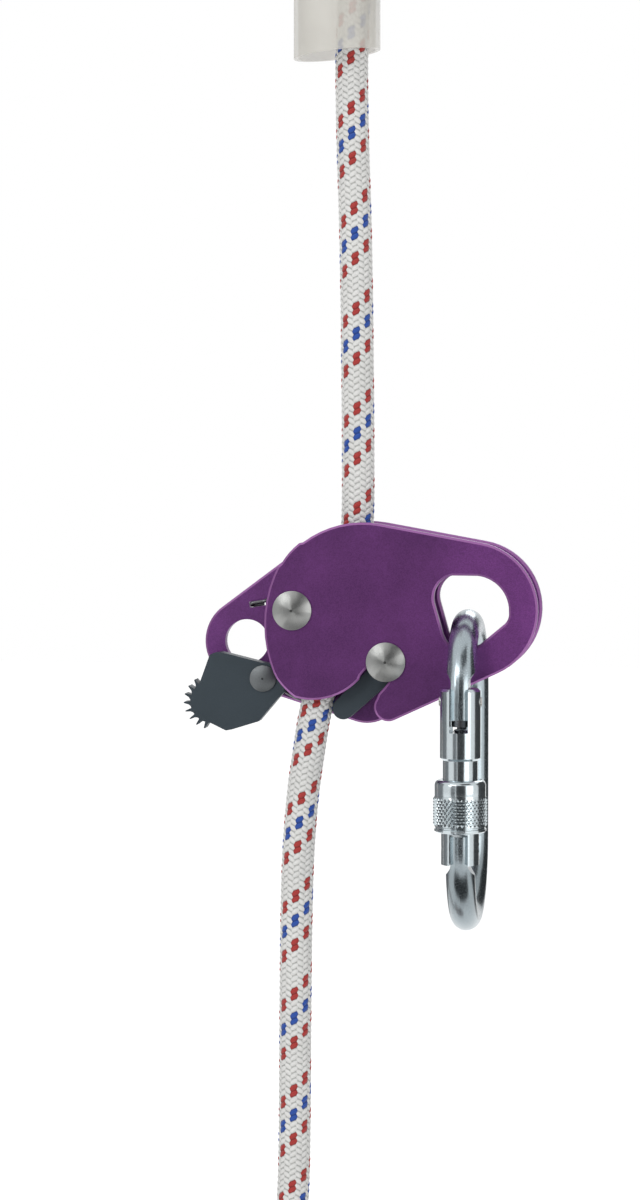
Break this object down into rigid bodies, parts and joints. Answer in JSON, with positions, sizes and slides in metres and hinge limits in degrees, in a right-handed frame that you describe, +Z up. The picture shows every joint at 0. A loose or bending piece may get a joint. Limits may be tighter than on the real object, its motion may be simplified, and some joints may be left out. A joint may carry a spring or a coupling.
{
  "type": "climbing rope with rope grab",
  "caption": "Hanging kernmantle rope with a sewn, sleeved top eye, a two-plate rope grab with a toothed cam, a screw-gate oval connector on the grab and the spare rope tied in a coil.",
  "frame": {"origin": "centre of the thimble in the rope's sewn top eye", "axes": "+Z up along the hanging rope; +X to the right and +Y away, seen from the front"},
  "size_m": [0.1658, 0.0615, 0.7215],
  "materials": {
    "rope_sheath": "braided, with red and blue tracer strands",
    "stitching": "thread",
    "sleeve": "milky, translucent",
    "thimble": "satin",
    "end_cap": "matte shrink tube",
    "tie_strap": "woven hook-and-loop strap",
    "plate_anodised": "purple anodised, satin",
    "dark_steel": "matte dark coating",
    "rivet_steel": "satin, turned",
    "cam_rivet_steel": "matte",
    "spring_steel": "drawn wire",
    "zinc_steel": "bright zinc"
  },
  "bodies": {
    "rope_line": {"eye_thimble": "thimble", "rope_eye": "rope_sheath", "eye_stitching": "stitching", "clear_sleeve": "sleeve", "rope_upper": "rope_sheath", "rope_in_grab": "rope_sheath", "rope_lower": "rope_sheath", "rope_coil": "rope_sheath", "rope_end_cap": "end_cap", "coil_ties": "tie_strap", "rear_plate": "plate_anodised", "pivot_rivet": "rivet_steel", "rope_bollard": "rivet_steel", "torsion_spring": "spring_steel", "arm_rivet": "rivet_steel", "arm_spring": "spring_steel", "cam_rivet": "cam_rivet_steel", "cam_spacer": "dark_steel", "cam_spring_washer": "spring_steel"},
    "front_plate": {"front_plate": "plate_anodised"},
    "toothed_cam": {"toothed_cam": "dark_steel"},
    "pressure_arm": {"pressure_arm": "dark_steel"},
    "connector": {"connector_body": "zinc_steel", "gate_hinge_pin": "rivet_steel"},
    "gate": {"gate": "zinc_steel", "gate_latch_pin": "rivet_steel", "gate_spring": "spring_steel"},
    "gate_plunger": {"gate_plunger": "rivet_steel"},
    "locking_sleeve": {"locking_sleeve": "zinc_steel"}
  },
  "joints": [
    {"name": "front_plate_swing", "type": "hinge", "parent": "rope_line", "child": "front_plate", "pos_m": [-0.0135, 0, -0.2934], "axis": [0, -1, 0], "range_deg": [0, 9]},
    {"name": "cam_hinge", "type": "hinge", "parent": "rope_line", "child": "toothed_cam", "pos_m": [-0.0245, 0, -0.3166], "axis": [0, -1, 0], "range_deg": [-60, 62]},
    {"name": "arm_hinge", "type": "hinge", "parent": "rope_line", "child": "pressure_arm", "pos_m": [0.0177, 0, -0.3102], "axis": [0, -1, 0], "range_deg": [0, 18], "stiffness_Nm_per_rad": 0.05, "springref_deg": -28.65},
    {"name": "connector_swing", "type": "hinge", "parent": "front_plate", "child": "connector", "pos_m": [0.0438, 0, -0.2984], "axis": [0, -1, 0], "range_deg": [-25, 85]},
    {"name": "gate_hinge", "type": "hinge", "parent": "connector", "child": "gate", "pos_m": [0.0438, -0.024, -0.32185], "axis": [1, 0, 0], "range_deg": [0, 27], "stiffness_Nm_per_rad": 0.03, "springref_deg": -34.38},
    {"name": "plunger_slide", "type": "slide", "parent": "gate", "child": "gate_plunger", "axis": [0, 0, 1], "range_m": [-0.0013, 0], "deforming": ["gate_spring"]},
    {"name": "sleeve_slide", "type": "slide", "parent": "gate", "child": "locking_sleeve", "axis": [0, 0, 1], "range_m": [-0.0087, 0]}
  ],
  "couplings": [
    {"joint": "plunger_slide", "follows": "gate_hinge", "m_per_rad": -0.0027}
  ]
}
